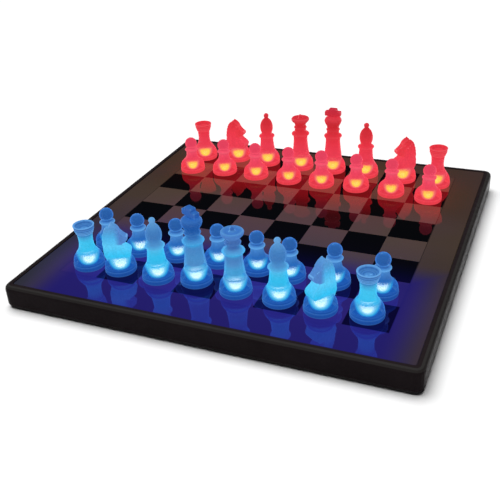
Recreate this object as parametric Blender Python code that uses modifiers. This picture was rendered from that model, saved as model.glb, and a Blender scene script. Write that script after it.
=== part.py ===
"""Lit chess set: a glass-topped powered board and 32 frosted pieces, each a solid of its own.

Metres, +Z up. The origin is under the middle of the board, on the surface that the feet stand on.
+X runs along the near rank from the a-file side to the h-file side, and +Y runs to the far rank.
"""

import math

import bmesh
import bpy
from mathutils import Matrix, Vector

MM = 0.001
GAP = 0.3 * MM                      # clearance between neighbouring solids

# ---- driving dimensions -------------------------------------------------------------------
SQUARE = 38.5 * MM                  # side of one chess square
FIELD_SHIFT_Y = 5.0 * MM            # the playing field sits this far behind the board's middle
BOARD_SIDE = 380.0 * MM             # outside of the frame
FOOT_DROP = 2.0 * MM                # how far the feet stand below the case
CASE_H = 20.5 * MM                  # height of the frame itself

RIM_W = 7.0 * MM                    # flat rim round the glass
WALL_T = 4.0 * MM                   # side walls below the rim
CORNER_R = 8.0 * MM                 # plan radius of the frame's corners
EDGE_R = 4.0 * MM                   # rounding along the frame's upper and lower edges
GLASS_T = 3.2 * MM
GLASS_RECESS = 0.3 * MM             # the glass lies this far below the rim
GASKET_T = 0.8 * MM
PANEL_T = 1.6 * MM                  # coil panel stuck under the glass
LEDGE_T = 2.0 * MM
LEDGE_W = 10.0 * MM
PAN_T = 4.0 * MM

# ---- levels, worked out from the dimensions ------------------------------------------------
CASE_Z0 = FOOT_DROP
CASE_Z1 = FOOT_DROP + CASE_H
HALF = BOARD_SIDE / 2
POCKET_HALF = HALF - RIM_W
CAVITY_HALF = HALF - WALL_T
LEDGE_HALF = POCKET_HALF - LEDGE_W
GLASS_Z1 = CASE_Z1 - GLASS_RECESS
GLASS_Z0 = GLASS_Z1 - GLASS_T
GASKET_Z1 = GLASS_Z0 - GAP
GASKET_Z0 = GASKET_Z1 - GASKET_T
LEDGE_Z1 = GASKET_Z0 - GAP
LEDGE_Z0 = LEDGE_Z1 - LEDGE_T
PANEL_Z1 = GLASS_Z0 - GAP
PANEL_Z0 = PANEL_Z1 - PANEL_T
PAN_Z0 = CASE_Z0
PAN_Z1 = PAN_Z0 + PAN_T
PIECE_Z = GLASS_Z1 + GAP            # underside of every chess piece

# ---- battery bay ---------------------------------------------------------------------------
CELL_R = 5.25 * MM                  # AAA cell
CELL_LEN = 44.5 * MM
CELL_PITCH = 11.2 * MM
CELL_COUNT = 3
BAY_X, BAY_Y = -70 * MM, 110 * MM   # middle of the bay
BAY_LEN = 50.0 * MM
BAY_W = CELL_COUNT * CELL_PITCH + 0.6 * MM
TRAY_WALL = 1.3 * MM
DOOR_LEN, DOOR_W, DOOR_T = 58 * MM, 41 * MM, 1.5 * MM
DOOR_TRAVEL = 34 * MM
DOOR_Z0 = PAN_Z0 + 0.9 * MM
DOOR_Z1 = DOOR_Z0 + DOOR_T
LIP_W = 1.6 * MM                    # rail lips that hold the door's long edges
CELL_Z = DOOR_Z1 + GAP + CELL_R + 0.25 * MM
CELL_NUB_R, CELL_NUB_H = 1.9 * MM, 1.0 * MM
CONTACT_T = 0.5 * MM                # spring plates at both ends of the cells
DIMPLE_R, DIMPLE_H = 2.2 * MM, 1.8 * MM
THUMB_GROOVES = 4
GROOVE_SIZE = (1.2 * MM, 18 * MM, 0.6 * MM)
GROOVE_PITCH, GROOVE_START = 3 * MM, -20 * MM

# ---- switch, jack, feet and screws -----------------------------------------------------------
SWITCH_X = -120 * MM
SWITCH_Z = 10.9 * MM
SWITCH_TRAVEL = 4 * MM
SWITCH_SIZE = (17 * MM, 7 * MM, 7.4 * MM)
KNOB_X, KNOB_H = 6.0 * MM, 3.2 * MM
KNOB_DEPTH = 2.6 * MM               # how far the knob reaches into the switch body
JACK_X = -150 * MM
JACK_Z = 10.9 * MM
JACK_R, JACK_BORE_R, JACK_PIN_R = 4.4 * MM, 3.1 * MM, 1.0 * MM
JACK_DEPTH = 14.0 * MM
FOOT_R, FOOT_AT, FOOT_EDGE = 8.0 * MM, 150 * MM, 0.8 * MM
SWITCH_RECESS = (16 * MM, 1.5 * MM, 7 * MM)     # finger recess in the wall: width, depth, height
FOOT_Z1 = PAN_Z0 + 1.0 * MM         # the feet sit in seats this high in the bottom cover
SCREW_AT = 176 * MM
SCREW_R, SCREW_HOLE_R = 1.3 * MM, 1.6 * MM
SCREW_HEAD_R = 3.4 * MM
COUNTERBORE = 2 * MM                # depth of the pockets that take the screw heads
SCREW_Z1 = 13.0 * MM                # tips of the screws
POST_R = 9.0 * MM
CORNERS = [(-1, -1), (1, -1), (1, 1), (-1, 1)]

# ---- electronics ------------------------------------------------------------------------------
DRIVER_X, DRIVER_Y = 10 * MM, 110 * MM
DRIVER_SIZE = (70 * MM, 44 * MM, 1.6 * MM)
DRIVER_Z0 = PAN_Z1 + 2.0 * MM
# chips on the driver board: offset x, offset y, half width, half depth and height, in millimetres
DRIVER_CHIPS = [(-18, 6, 7, 5, 1.8), (6, -8, 5, 5, 1.6), (22, 8, 4, 7, 3.2), (20, -12, 3, 3, 2.4)]
BAR_X = 160 * MM                    # bus bars along both sides of the coil panel
BAR_SIZE = (5 * MM, 300 * MM, 1.0 * MM)
LEAD_R = 0.9 * MM

TURN_STEPS = 10                     # sides of a turned chess piece
PART_NAME = "lit_chess_set"

# ---- turned outlines: (radius, height) in millimetres, from the top down ---------------------
# each foot steps in over the round cap that closes it below
FOOT_OUTLINE = [
    (10.2, 14.6), (12.6, 12.0), (14.3, 8.4), (14.5, 3.0), (13.4, 1.6), (12.4, 1.6), (12.4, 0.0),
    (0.0, 0.0),
]
PAWN_OUTLINE = [
    (4.6, 28.4), (5.2, 27.6), (7.4, 26.6), (7.4, 25.2), (6.2, 24.2), (6.0, 20.5), (6.9, 17.2),
    (9.4, 14.2), (12.2, 11.6), (13.8, 8.2), (14.0, 2.8), (12.9, 1.6), (11.8, 1.6), (11.8, 0.0),
    (0.0, 0.0),
]
ROOK_OUTLINE = [
    (0.0, 39.9), (7.2, 40.1), (8.1, 43.2), (9.2, 43.4), (9.9, 41.9), (9.4, 39.2), (7.8, 35.0),
    (6.9, 31.5), (6.5, 27.0), (7.3, 20.2), (9.4, 16.8),
] + FOOT_OUTLINE
BISHOP_OUTLINE = [
    (2.1, 56.7), (4.6, 54.4), (6.6, 50.4), (7.4, 46.0), (7.0, 41.6), (5.8, 37.4), (6.6, 36.4),
    (8.9, 35.0), (8.9, 32.9), (7.6, 31.4), (7.4, 29.0), (8.9, 17.5),
] + FOOT_OUTLINE
QUEEN_OUTLINE = [
    (0.0, 64.2), (1.7, 63.2), (2.4, 62.2), (7.4, 61.2), (9.7, 59.6), (9.8, 57.6), (6.2, 53.0),
    (6.1, 50.2), (7.0, 48.8), (6.4, 46.4), (6.8, 44.2), (10.0, 42.4), (10.0, 40.2),
    (7.9, 38.2), (7.6, 35.0), (9.3, 18.0),
] + FOOT_OUTLINE
KING_OUTLINE = [
    (0.0, 65.4), (4.6, 65.0), (8.2, 63.2), (9.5, 60.6), (9.3, 58.2), (6.5, 52.8), (6.5, 50.6),
    (7.4, 49.0), (6.8, 46.6), (7.2, 45.2), (9.8, 43.4), (9.8, 41.2), (8.1, 39.2), (7.9, 36.0),
    (9.9, 18.0),
] + FOOT_OUTLINE
KNIGHT_FOOT_OUTLINE = [(0.0, 14.0), (9.8, 14.0)] + FOOT_OUTLINE
# side view of the horse: (forward, height) in millimetres, anticlockwise from the back of the foot
HORSE_OUTLINE = [
    (-8.6, 12.0), (8.4, 12.0), (10.4, 16.0), (11.8, 19.6), (11.2, 22.6), (8.4, 25.0), (5.8, 27.2),
    (4.4, 29.8), (7.4, 30.8), (9.4, 32.8), (9.2, 35.4), (6.4, 38.2), (3.2, 41.0), (2.2, 44.2),
    (-0.8, 47.2), (-3.6, 48.9), (-6.6, 45.0), (-10.4, 41.0), (-12.2, 35.2), (-13.0, 28.0),
    (-12.6, 20.0), (-11.6, 16.0),
]
HORSE_HALF_T = 5.6 * MM             # half the horse's thickness
HORSE_EDGE = 1.6 * MM               # chamfer round its outline

# cross on the king's crown: (width, depth, low, high) in millimetres
CROSS_UPRIGHT = (8.6, 5.0, 64.6, 74.6)
CROSS_ARM = (17.2, 5.0, 66.0, 71.0)
FINIAL_R, FINIAL_Z = 2.9 * MM, 58.4 * MM
PAWN_HEAD_R, PAWN_HEAD_Z = 6.7 * MM, 33.3 * MM

# ---- chess men: rank order, and how far each stands off the middle of its square ----------------
BACK_RANK = ["rook", "knight", "bishop", "queen", "king", "bishop", "knight", "rook"]
NEAR_RANK = ["rook", "knight", "bishop", "king", "queen", "bishop", "knight", "rook"]
# sideways and forward offsets in millimetres, file a to file h
OFF_SQUARE = {
    "blue_back": [(2.5, -2.5), (-3, -1), (-1.5, -3), (-4.5, 2.5), (-3, -2.5), (-1, -4), (-2.5, -6),
                  (-2.5, -2.5)],
    "blue_pawn": [(0.5, -1), (-3, -3), (-2, -1), (1, 0.5), (1.5, -1), (-5, -4), (-3.5, -1.5),
                  (0.5, -4.5)],
    "red_pawn": [(-3, -4), (-2.5, 0.5), (-1.5, -0.5), (0, -1.5), (-0.5, -1), (0, 0), (0.5, -2.5),
                 (2, -6.5)],
    "red_back": [(-5.5, -3), (-3, 4), (-3, 1.5), (0.5, 0), (0, 1.5), (0, 0), (4, -1.5), (3, -5)],
}
# where each side's left and right knight face, in degrees from +X
KNIGHT_FACING = {"blue": (25, 235), "red": (0, 215)}

BLUE = (0.03, 0.30, 0.85)
RED = (0.90, 0.03, 0.06)


def clear_scene():
    """Remove every object, so that the file holds the part alone."""
    for obj in list(bpy.data.objects):
        bpy.data.objects.remove(obj, do_unlink=True)


clear_scene()
part_collection = bpy.data.collections.new(PART_NAME)
cutter_collection = bpy.data.collections.new("cutters")
for collection in (part_collection, cutter_collection):
    bpy.context.scene.collection.children.link(collection)


# ---- materials ----------------------------------------------------------------------------------
def make_material(name, colour, roughness, metallic=0.0):
    """A Principled material with a part's colour, roughness and metallic value."""
    material = bpy.data.materials.new(name)
    material.use_nodes = True
    shader = material.node_tree.nodes["Principled BSDF"]
    shader.inputs["Base Color"].default_value = (*colour, 1.0)
    shader.inputs["Roughness"].default_value = roughness
    shader.inputs["Metallic"].default_value = metallic
    return material


MATERIALS = {
    "case": make_material("case_black", (0.012, 0.011, 0.010), 0.35),
    "glass": make_material("smoked_glass", (0.055, 0.045, 0.038), 0.04),
    "foam": make_material("black_foam", (0.010, 0.010, 0.010), 0.95),
    "panel": make_material("coil_panel_green", (0.010, 0.060, 0.030), 0.45),
    "driver": make_material("driver_board_green", (0.012, 0.080, 0.035), 0.40),
    "copper": make_material("copper_rail", (0.72, 0.36, 0.20), 0.30, 1.0),
    "tray": make_material("tray_black", (0.020, 0.020, 0.020), 0.50),
    "cell": make_material("cell_jacket", (0.10, 0.11, 0.12), 0.30, 0.6),
    "nickel": make_material("nickel_contact", (0.66, 0.64, 0.60), 0.25, 1.0),
    "steel": make_material("screw_steel", (0.30, 0.30, 0.31), 0.35, 1.0),
    "rubber": make_material("foot_rubber", (0.018, 0.018, 0.018), 0.90),
    "switch": make_material("switch_grey", (0.050, 0.050, 0.052), 0.45),
    "jack": make_material("jack_black", (0.015, 0.015, 0.015), 0.40),
    "lead": make_material("lead_red", (0.45, 0.02, 0.02), 0.50),
    "blue": make_material("frosted_blue", BLUE, 0.45),
    "red": make_material("frosted_red", RED, 0.45),
}


# ---- shape helpers ------------------------------------------------------------------------------
def add_object(name, mesh, material=None, location=(0, 0, 0), turn_z=0.0):
    """Put a mesh into the part's collection as one named node."""
    obj = bpy.data.objects.new(name, mesh)
    obj.location = location
    obj.rotation_euler[2] = turn_z
    part_collection.objects.link(obj)
    if material and not mesh.materials:
        mesh.materials.append(material)
    return obj


def mesh_from(bm, name):
    """Turn a bmesh into a mesh with its faces pointing out."""
    bmesh.ops.recalc_face_normals(bm, faces=bm.faces)
    mesh = bpy.data.meshes.new(name)
    bm.to_mesh(mesh)
    bm.free()
    return mesh


def box_bmesh(size, centre):
    """A closed box as a bmesh."""
    bm = bmesh.new()
    bmesh.ops.create_cube(bm, size=1.0)
    bmesh.ops.scale(bm, vec=Vector(size), verts=bm.verts)
    bmesh.ops.translate(bm, vec=Vector(centre), verts=bm.verts)
    return bm


def bevel_upright_edges(bm, radius, segments):
    """Round a box's four upright edges."""
    upright = [e for e in bm.edges if abs(e.verts[0].co.z - e.verts[1].co.z) > 1e-6]
    bmesh.ops.bevel(bm, geom=upright, offset=radius, segments=segments, profile=0.5,
                    affect="EDGES", clamp_overlap=True)


def bevel_flat_loop(bm, level, radius, segments):
    """Round the edges that lie at one level, such as a slab's whole upper edge."""
    loop = [e for e in bm.edges if all(abs(v.co.z - level) < 1e-6 for v in e.verts)]
    bmesh.ops.bevel(bm, geom=loop, offset=radius, segments=segments, profile=0.5,
                    affect="EDGES", clamp_overlap=True)


def slab_mesh(name, half_x, half_y, z0, z1, centre=(0.0, 0.0), corner=0.0, segments=3):
    """A flat slab between two levels, with rounded corners where corner is not zero."""
    size = (2 * half_x, 2 * half_y, z1 - z0)
    bm = box_bmesh(size, (centre[0], centre[1], (z0 + z1) / 2))
    if corner:
        bevel_upright_edges(bm, corner, segments)
    return mesh_from(bm, name)


def cylinder_mesh(name, radius, z0, z1, centre=(0.0, 0.0), sides=16):
    """An upright cylinder between two levels."""
    bm = bmesh.new()
    bmesh.ops.create_cone(bm, cap_ends=True, segments=sides, radius1=radius, radius2=radius,
                          depth=z1 - z0)
    bmesh.ops.translate(bm, vec=(centre[0], centre[1], (z0 + z1) / 2), verts=bm.verts)
    return mesh_from(bm, name)


def cutter(name, mesh, rotation=(0.0, 0.0, 0.0), location=(0, 0, 0)):
    """A hidden solid that other parts are cut or joined with."""
    obj = bpy.data.objects.new(name, mesh)
    obj.location = location
    obj.rotation_euler = rotation
    obj.hide_render = True
    obj.display_type = "WIRE"
    cutter_collection.objects.link(obj)
    return obj


def boolean(obj, tool, operation):
    """Cut obj with tool, or join them, with the exact solver."""
    modifier = obj.modifiers.new(f"{operation.lower()}_{tool.name}", "BOOLEAN")
    modifier.operation = operation
    modifier.solver = "EXACT"
    modifier.object = tool
    return modifier


def turned_mesh(name, outline, steps, scale=MM):
    """Turn an outline of (radius, height) points, listed from the top down, about the Z axis."""
    mesh = bpy.data.meshes.new(name)
    points = [(r * scale, 0.0, z * scale) for r, z in outline]
    edges = [(i, i + 1) for i in range(len(points) - 1)]
    mesh.from_pydata(points, edges, [])
    obj = bpy.data.objects.new(name + "_profile", mesh)
    bpy.context.scene.collection.objects.link(obj)
    screw = obj.modifiers.new("turn", "SCREW")
    screw.steps = steps
    screw.render_steps = steps
    screw.use_merge_vertices = True
    screw.merge_threshold = 0.00001
    depsgraph = bpy.context.evaluated_depsgraph_get()
    turned = bpy.data.meshes.new_from_object(obj.evaluated_get(depsgraph))
    turned.name = name
    bpy.data.objects.remove(obj, do_unlink=True)
    bpy.data.meshes.remove(mesh)
    bm = bmesh.new()
    bm.from_mesh(turned)
    bmesh.ops.remove_doubles(bm, verts=bm.verts, dist=0.00001)
    bmesh.ops.recalc_face_normals(bm, faces=bm.faces)
    bm.to_mesh(turned)
    bm.free()
    return turned


def arc_points(radius, centre_z, start_deg, end_deg, count):
    """Points on a half circle about the Z axis, from the start angle down to the end angle."""
    sweep = math.radians(end_deg - start_deg)
    angles = [math.radians(start_deg) + sweep * i / (count - 1) for i in range(count)]
    return [(max(0.0, radius * math.cos(a)), centre_z + radius * math.sin(a)) for a in angles]


def smooth(mesh, angle_deg=40.0):
    """Shade round faces smooth and keep real edges sharp."""
    mesh.shade_smooth()
    mesh.set_sharp_from_angle(angle=math.radians(angle_deg))


def baked(obj):
    """The mesh of an object with its modifiers applied."""
    depsgraph = bpy.context.evaluated_depsgraph_get()
    return bpy.data.meshes.new_from_object(obj.evaluated_get(depsgraph))


# ---- the case -------------------------------------------------------------------------------------
def make_frame():
    """Outer frame: walls, rim round the glass, glass ledge and four screw posts, in one moulding."""
    bm = box_bmesh((BOARD_SIDE, BOARD_SIDE, CASE_H), (0, 0, (CASE_Z0 + CASE_Z1) / 2))
    bevel_upright_edges(bm, CORNER_R, 4)
    bevel_flat_loop(bm, CASE_Z1, EDGE_R, 3)
    bevel_flat_loop(bm, CASE_Z0, EDGE_R / 2, 2)
    frame = add_object("frame", mesh_from(bm, "frame"), MATERIALS["case"])

    corner = CORNER_R - WALL_T
    pocket = slab_mesh("glass_pocket", POCKET_HALF, POCKET_HALF, LEDGE_Z1, CASE_Z1 + MM,
                       corner=corner / 2)
    boolean(frame, cutter("glass_pocket", pocket), "DIFFERENCE")
    cavity = slab_mesh("cavity", CAVITY_HALF, CAVITY_HALF, CASE_Z0 - MM, LEDGE_Z0, corner=corner)
    boolean(frame, cutter("cavity", cavity), "DIFFERENCE")
    window = slab_mesh("ledge_window", LEDGE_HALF, LEDGE_HALF, LEDGE_Z0 - MM, LEDGE_Z1 + MM,
                       corner=corner / 2)
    boolean(frame, cutter("ledge_window", window), "DIFFERENCE")
    for i, (sx, sy) in enumerate(CORNERS):
        at = (sx * SCREW_AT, sy * SCREW_AT)
        post = cylinder_mesh(f"post_{i}", POST_R, PAN_Z1 + GAP, LEDGE_Z0 + MM, at)
        boolean(frame, cutter(f"post_{i}", post), "UNION")
        hole = cylinder_mesh(f"post_hole_{i}", SCREW_HOLE_R, PAN_Z0, SCREW_Z1 + GAP, at, 12)
        boolean(frame, cutter(f"post_hole_{i}", hole), "DIFFERENCE")

    jack_hole = cylinder_mesh("jack_hole", JACK_R + GAP, -WALL_T, WALL_T)
    boolean(frame, cutter("jack_hole", jack_hole, (math.pi / 2, 0, 0), (JACK_X, HALF, JACK_Z)),
            "DIFFERENCE")
    width, depth, height = SWITCH_RECESS
    recess = box_bmesh((width, 2 * depth, height), (SWITCH_X, HALF, SWITCH_Z))
    boolean(frame, cutter("switch_recess", mesh_from(recess, "switch_recess")), "DIFFERENCE")
    slot_size = (KNOB_X + SWITCH_TRAVEL + 2 * GAP, 3 * WALL_T, KNOB_H + 2 * GAP)
    slot = box_bmesh(slot_size, (SWITCH_X, HALF, SWITCH_Z))
    boolean(frame, cutter("switch_slot", mesh_from(slot, "switch_slot")), "DIFFERENCE")
    return frame


def make_glass_stack():
    """Glass top, the foam gasket it lies on, and the coil panel behind it."""
    half = POCKET_HALF - GAP
    bm = box_bmesh((2 * half, 2 * half, GLASS_T), (0, 0, (GLASS_Z0 + GLASS_Z1) / 2))
    bevel_upright_edges(bm, 2 * MM, 2)
    bevel_flat_loop(bm, GLASS_Z1, 0.5 * MM, 1)
    add_object("glass_top", mesh_from(bm, "glass_top"), MATERIALS["glass"])

    gasket = add_object(
        "glass_gasket",
        slab_mesh("glass_gasket", half, half, GASKET_Z0, GASKET_Z1, corner=2 * MM, segments=2),
        MATERIALS["foam"])
    inner = slab_mesh("gasket_window", LEDGE_HALF + MM, LEDGE_HALF + MM, GASKET_Z0 - MM,
                      GASKET_Z1 + MM)
    boolean(gasket, cutter("gasket_window", inner), "DIFFERENCE")

    panel_half = LEDGE_HALF - GAP
    add_object("coil_panel",
               slab_mesh("coil_panel", panel_half, panel_half, PANEL_Z0, PANEL_Z1, corner=3 * MM),
               MATERIALS["panel"])
    for side, name in ((-1, "bus_bar_left"), (1, "bus_bar_right")):
        z1 = PANEL_Z0 - GAP
        mesh = slab_mesh(name, BAR_SIZE[0] / 2, BAR_SIZE[1] / 2, z1 - BAR_SIZE[2], z1,
                         (side * BAR_X, 0.0))
        add_object(name, mesh, MATERIALS["copper"])


def make_base_pan():
    """Bottom cover with the battery opening, the door's rails, foot seats and screw holes."""
    half = CAVITY_HALF - GAP
    pan = add_object(
        "base_pan",
        slab_mesh("base_pan", half, half, PAN_Z0, PAN_Z1, corner=CORNER_R - WALL_T),
        MATERIALS["case"])
    bay = slab_mesh("bay_opening", BAY_LEN / 2, BAY_W / 2, PAN_Z0 - MM, PAN_Z1 + MM, (BAY_X, BAY_Y))
    boolean(pan, cutter("bay_opening", bay), "DIFFERENCE")
    run_half = (DOOR_LEN + DOOR_TRAVEL) / 2 + GAP
    run_x = BAY_X + DOOR_TRAVEL / 2
    track = slab_mesh("door_track", run_half, DOOR_W / 2 + GAP, DOOR_Z0 - GAP, DOOR_Z1 + GAP,
                      (run_x, BAY_Y))
    boolean(pan, cutter("door_track", track), "DIFFERENCE")
    mouth = slab_mesh("door_mouth", run_half, DOOR_W / 2 - LIP_W, PAN_Z0 - MM, DOOR_Z0,
                      (run_x, BAY_Y))
    boolean(pan, cutter("door_mouth", mouth), "DIFFERENCE")
    for i, (sx, sy) in enumerate(CORNERS):
        at = (sx * SCREW_AT, sy * SCREW_AT)
        head = cylinder_mesh(f"counterbore_{i}", SCREW_HEAD_R + GAP, PAN_Z0 - MM,
                             PAN_Z0 + COUNTERBORE, at)
        boolean(pan, cutter(f"counterbore_{i}", head), "DIFFERENCE")
        shank = cylinder_mesh(f"screw_hole_{i}", SCREW_HOLE_R, PAN_Z0, PAN_Z1 + MM, at, 12)
        boolean(pan, cutter(f"screw_hole_{i}", shank), "DIFFERENCE")
        seat = cylinder_mesh(f"foot_seat_{i}", FOOT_R + GAP, PAN_Z0 - MM, FOOT_Z1 + GAP,
                             (sx * FOOT_AT, sy * FOOT_AT), 20)
        boolean(pan, cutter(f"foot_seat_{i}", seat), "DIFFERENCE")
    return pan


def make_feet_and_screws():
    """Four stick-on rubber feet and the four screws that hold the bottom cover."""
    for i, (sx, sy) in enumerate(CORNERS, start=1):
        foot = [(0.0, FOOT_Z1), (FOOT_R, FOOT_Z1), (FOOT_R, FOOT_EDGE),
                (FOOT_R - FOOT_EDGE, 0.0), (0.0, 0.0)]
        mesh = turned_mesh(f"foot_{i}", foot, 20, 1.0)
        smooth(mesh)
        add_object(f"foot_{i}", mesh, MATERIALS["rubber"], (sx * FOOT_AT, sy * FOOT_AT, 0))

        head_z0, head_z1 = PAN_Z0 + 0.2 * MM, PAN_Z0 + COUNTERBORE - GAP
        screw = [(0.0, SCREW_Z1), (SCREW_R, SCREW_Z1 - MM), (SCREW_R, head_z1),
                 (SCREW_HEAD_R, head_z1), (SCREW_HEAD_R, head_z0 + GAP),
                 (SCREW_HEAD_R - GAP, head_z0), (0.0, head_z0)]
        mesh = turned_mesh(f"case_screw_{i}", screw, 12, 1.0)
        add_object(f"case_screw_{i}", mesh, MATERIALS["steel"], (sx * SCREW_AT, sy * SCREW_AT, 0))


# ---- the battery bay ------------------------------------------------------------------------------
def make_battery_bay():
    """Tray, door, cells and contacts under the far-left quarter of the board."""
    half_l, half_w = BAY_LEN / 2 + TRAY_WALL, BAY_W / 2 + TRAY_WALL
    tray_z0, tray_z1 = PAN_Z1 + GAP, PANEL_Z0 - GAP
    tray = add_object(
        "battery_tray",
        slab_mesh("battery_tray", half_l, half_w, tray_z0, tray_z1, (BAY_X, BAY_Y)),
        MATERIALS["tray"])
    hollow_top = CELL_Z + CELL_R + GAP
    hollow = slab_mesh("tray_hollow", BAY_LEN / 2, BAY_W / 2, tray_z0 - MM, hollow_top, (BAY_X, BAY_Y))
    boolean(tray, cutter("tray_hollow", hollow), "DIFFERENCE")

    door = add_object(
        "battery_door",
        slab_mesh("battery_door", DOOR_LEN / 2, DOOR_W / 2, DOOR_Z0, DOOR_Z1, (0, 0)),
        MATERIALS["case"], (BAY_X, BAY_Y, 0))
    length, width, depth = GROOVE_SIZE
    for i in range(THUMB_GROOVES):
        groove = slab_mesh(f"thumb_groove_{i}", length / 2, width / 2, DOOR_Z0 - MM, DOOR_Z0 + depth,
                           (BAY_X + GROOVE_START + i * GROOVE_PITCH, BAY_Y))
        boolean(door, cutter(f"thumb_groove_{i}", groove), "DIFFERENCE")

    can_top, can_foot, edge = CELL_LEN / 2 - CELL_NUB_H, -CELL_LEN / 2, 0.5 * MM
    cell_outline = [(0.0, CELL_LEN / 2), (CELL_NUB_R, CELL_LEN / 2), (CELL_NUB_R, can_top),
                    (CELL_R - edge, can_top), (CELL_R, can_top - edge), (CELL_R, can_foot + edge),
                    (CELL_R - edge, can_foot), (0.0, can_foot)]
    for i in range(CELL_COUNT):
        mesh = turned_mesh(f"battery_cell_{i + 1}", cell_outline, 16, 1.0)
        smooth(mesh)
        y = BAY_Y + (i - (CELL_COUNT - 1) / 2) * CELL_PITCH
        cell = add_object(f"battery_cell_{i + 1}", mesh, MATERIALS["cell"], (BAY_X, y, CELL_Z))
        cell.rotation_euler = (0.0, math.pi / 2 if i % 2 == 0 else -math.pi / 2, 0.0)

    for side, name in ((-1, "battery_contact_neg"), (1, "battery_contact_pos")):
        plate_x = BAY_X + side * (BAY_LEN / 2 - GAP - CONTACT_T / 2)
        plate = slab_mesh(name, CONTACT_T / 2, BAY_W / 2 - GAP, PAN_Z1 + GAP, CELL_Z + 4 * MM,
                          (plate_x, BAY_Y))
        contact = add_object(name, plate, MATERIALS["nickel"])
        for i in range(CELL_COUNT):
            y = BAY_Y + (i - (CELL_COUNT - 1) / 2) * CELL_PITCH
            dimple = cylinder_mesh(f"{name}_dimple_{i}", DIMPLE_R, -DIMPLE_H / 2, DIMPLE_H / 2,
                                   sides=12)
            place = (plate_x - side * 1.0 * MM, y, CELL_Z)
            boolean(contact, cutter(f"{name}_dimple_{i}", dimple, (0, math.pi / 2, 0), place), "UNION")


# ---- switch, jack and electronics --------------------------------------------------------------------
def make_power_parts():
    """Slide switch, barrel jack, driver board and the leads between them, along the far wall."""
    wall_in = HALF - WALL_T
    body_y1 = wall_in - GAP
    body_bm = box_bmesh(SWITCH_SIZE, (SWITCH_X, body_y1 - SWITCH_SIZE[1] / 2, SWITCH_Z))
    body = add_object("power_switch_body", mesh_from(body_bm, "power_switch_body"),
                      MATERIALS["switch"])
    well_size = (KNOB_X + SWITCH_TRAVEL + 2 * GAP, 4 * MM, KNOB_H + 2 * GAP)
    well = box_bmesh(well_size, (SWITCH_X, body_y1 - MM, SWITCH_Z))
    boolean(body, cutter("switch_well", mesh_from(well, "switch_well")), "DIFFERENCE")

    knob_y0, knob_y1 = body_y1 - KNOB_DEPTH, HALF - GAP
    knob_bm = box_bmesh((KNOB_X, knob_y1 - knob_y0, KNOB_H),
                        (0, (knob_y0 + knob_y1) / 2 - HALF, 0))
    knob = add_object("power_switch_knob", mesh_from(knob_bm, "power_switch_knob"),
                      MATERIALS["switch"], (SWITCH_X - SWITCH_TRAVEL / 2, HALF, SWITCH_Z))
    for i in range(3):
        rib = box_bmesh((0.6 * MM, 1.0 * MM, 5 * MM),
                        (knob.location.x + (i - 1) * 1.6 * MM, knob_y1, SWITCH_Z))
        boolean(knob, cutter(f"knob_groove_{i}", mesh_from(rib, f"knob_groove_{i}")), "DIFFERENCE")

    floor = -JACK_DEPTH + 4 * MM
    jack_outline = [(0.0, -1.5 * MM), (JACK_PIN_R, -2.0 * MM), (JACK_PIN_R, floor),
                    (JACK_BORE_R, floor), (JACK_BORE_R, -GAP), (JACK_R - GAP, -GAP),
                    (JACK_R, -2 * GAP), (JACK_R, -JACK_DEPTH), (0.0, -JACK_DEPTH)]
    mesh = turned_mesh("dc_jack", jack_outline, 16, 1.0)
    smooth(mesh)
    jack = add_object("dc_jack", mesh, MATERIALS["jack"], (JACK_X, HALF, JACK_Z))
    jack.rotation_euler = (-math.pi / 2, 0.0, 0.0)

    sx, sy, sz = DRIVER_SIZE
    board = add_object(
        "driver_board",
        slab_mesh("driver_board", sx / 2, sy / 2, DRIVER_Z0, DRIVER_Z0 + sz, (DRIVER_X, DRIVER_Y)),
        MATERIALS["driver"])
    for i, (dx, dy, hx, hy, h) in enumerate(DRIVER_CHIPS):
        chip = slab_mesh(f"chip_{i}", hx * MM, hy * MM, DRIVER_Z0 + sz / 2,
                         DRIVER_Z0 + sz + h * MM, (DRIVER_X + dx * MM, DRIVER_Y + dy * MM))
        boolean(board, cutter(f"chip_{i}", chip), "UNION")

    tray_end = BAY_X + BAY_LEN / 2 + TRAY_WALL + GAP
    board_end = DRIVER_X - sx / 2 - GAP
    board_z = DRIVER_Z0 + sz / 2
    add_lead("battery_lead", [
        (tray_end, BAY_Y + 6 * MM, 11 * MM), (tray_end + 4 * MM, BAY_Y + 6 * MM, 10.4 * MM),
        (board_end - 4 * MM, BAY_Y + 2 * MM, board_z + 0.6 * MM), (board_end, BAY_Y + 2 * MM, board_z),
    ])
    back_y = HALF - JACK_DEPTH - GAP
    add_lead("jack_lead", [
        (JACK_X, back_y, JACK_Z), (JACK_X, back_y - 5 * MM, JACK_Z),
        (JACK_X + 12 * MM, back_y - 22 * MM, 9 * MM), (-90 * MM, back_y - 28 * MM, 8.4 * MM),
        (-50 * MM, back_y - 28 * MM, 8.4 * MM), (-32 * MM, BAY_Y + 14 * MM, board_z + 0.2 * MM),
        (board_end, BAY_Y + 12 * MM, board_z),
    ])


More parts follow.
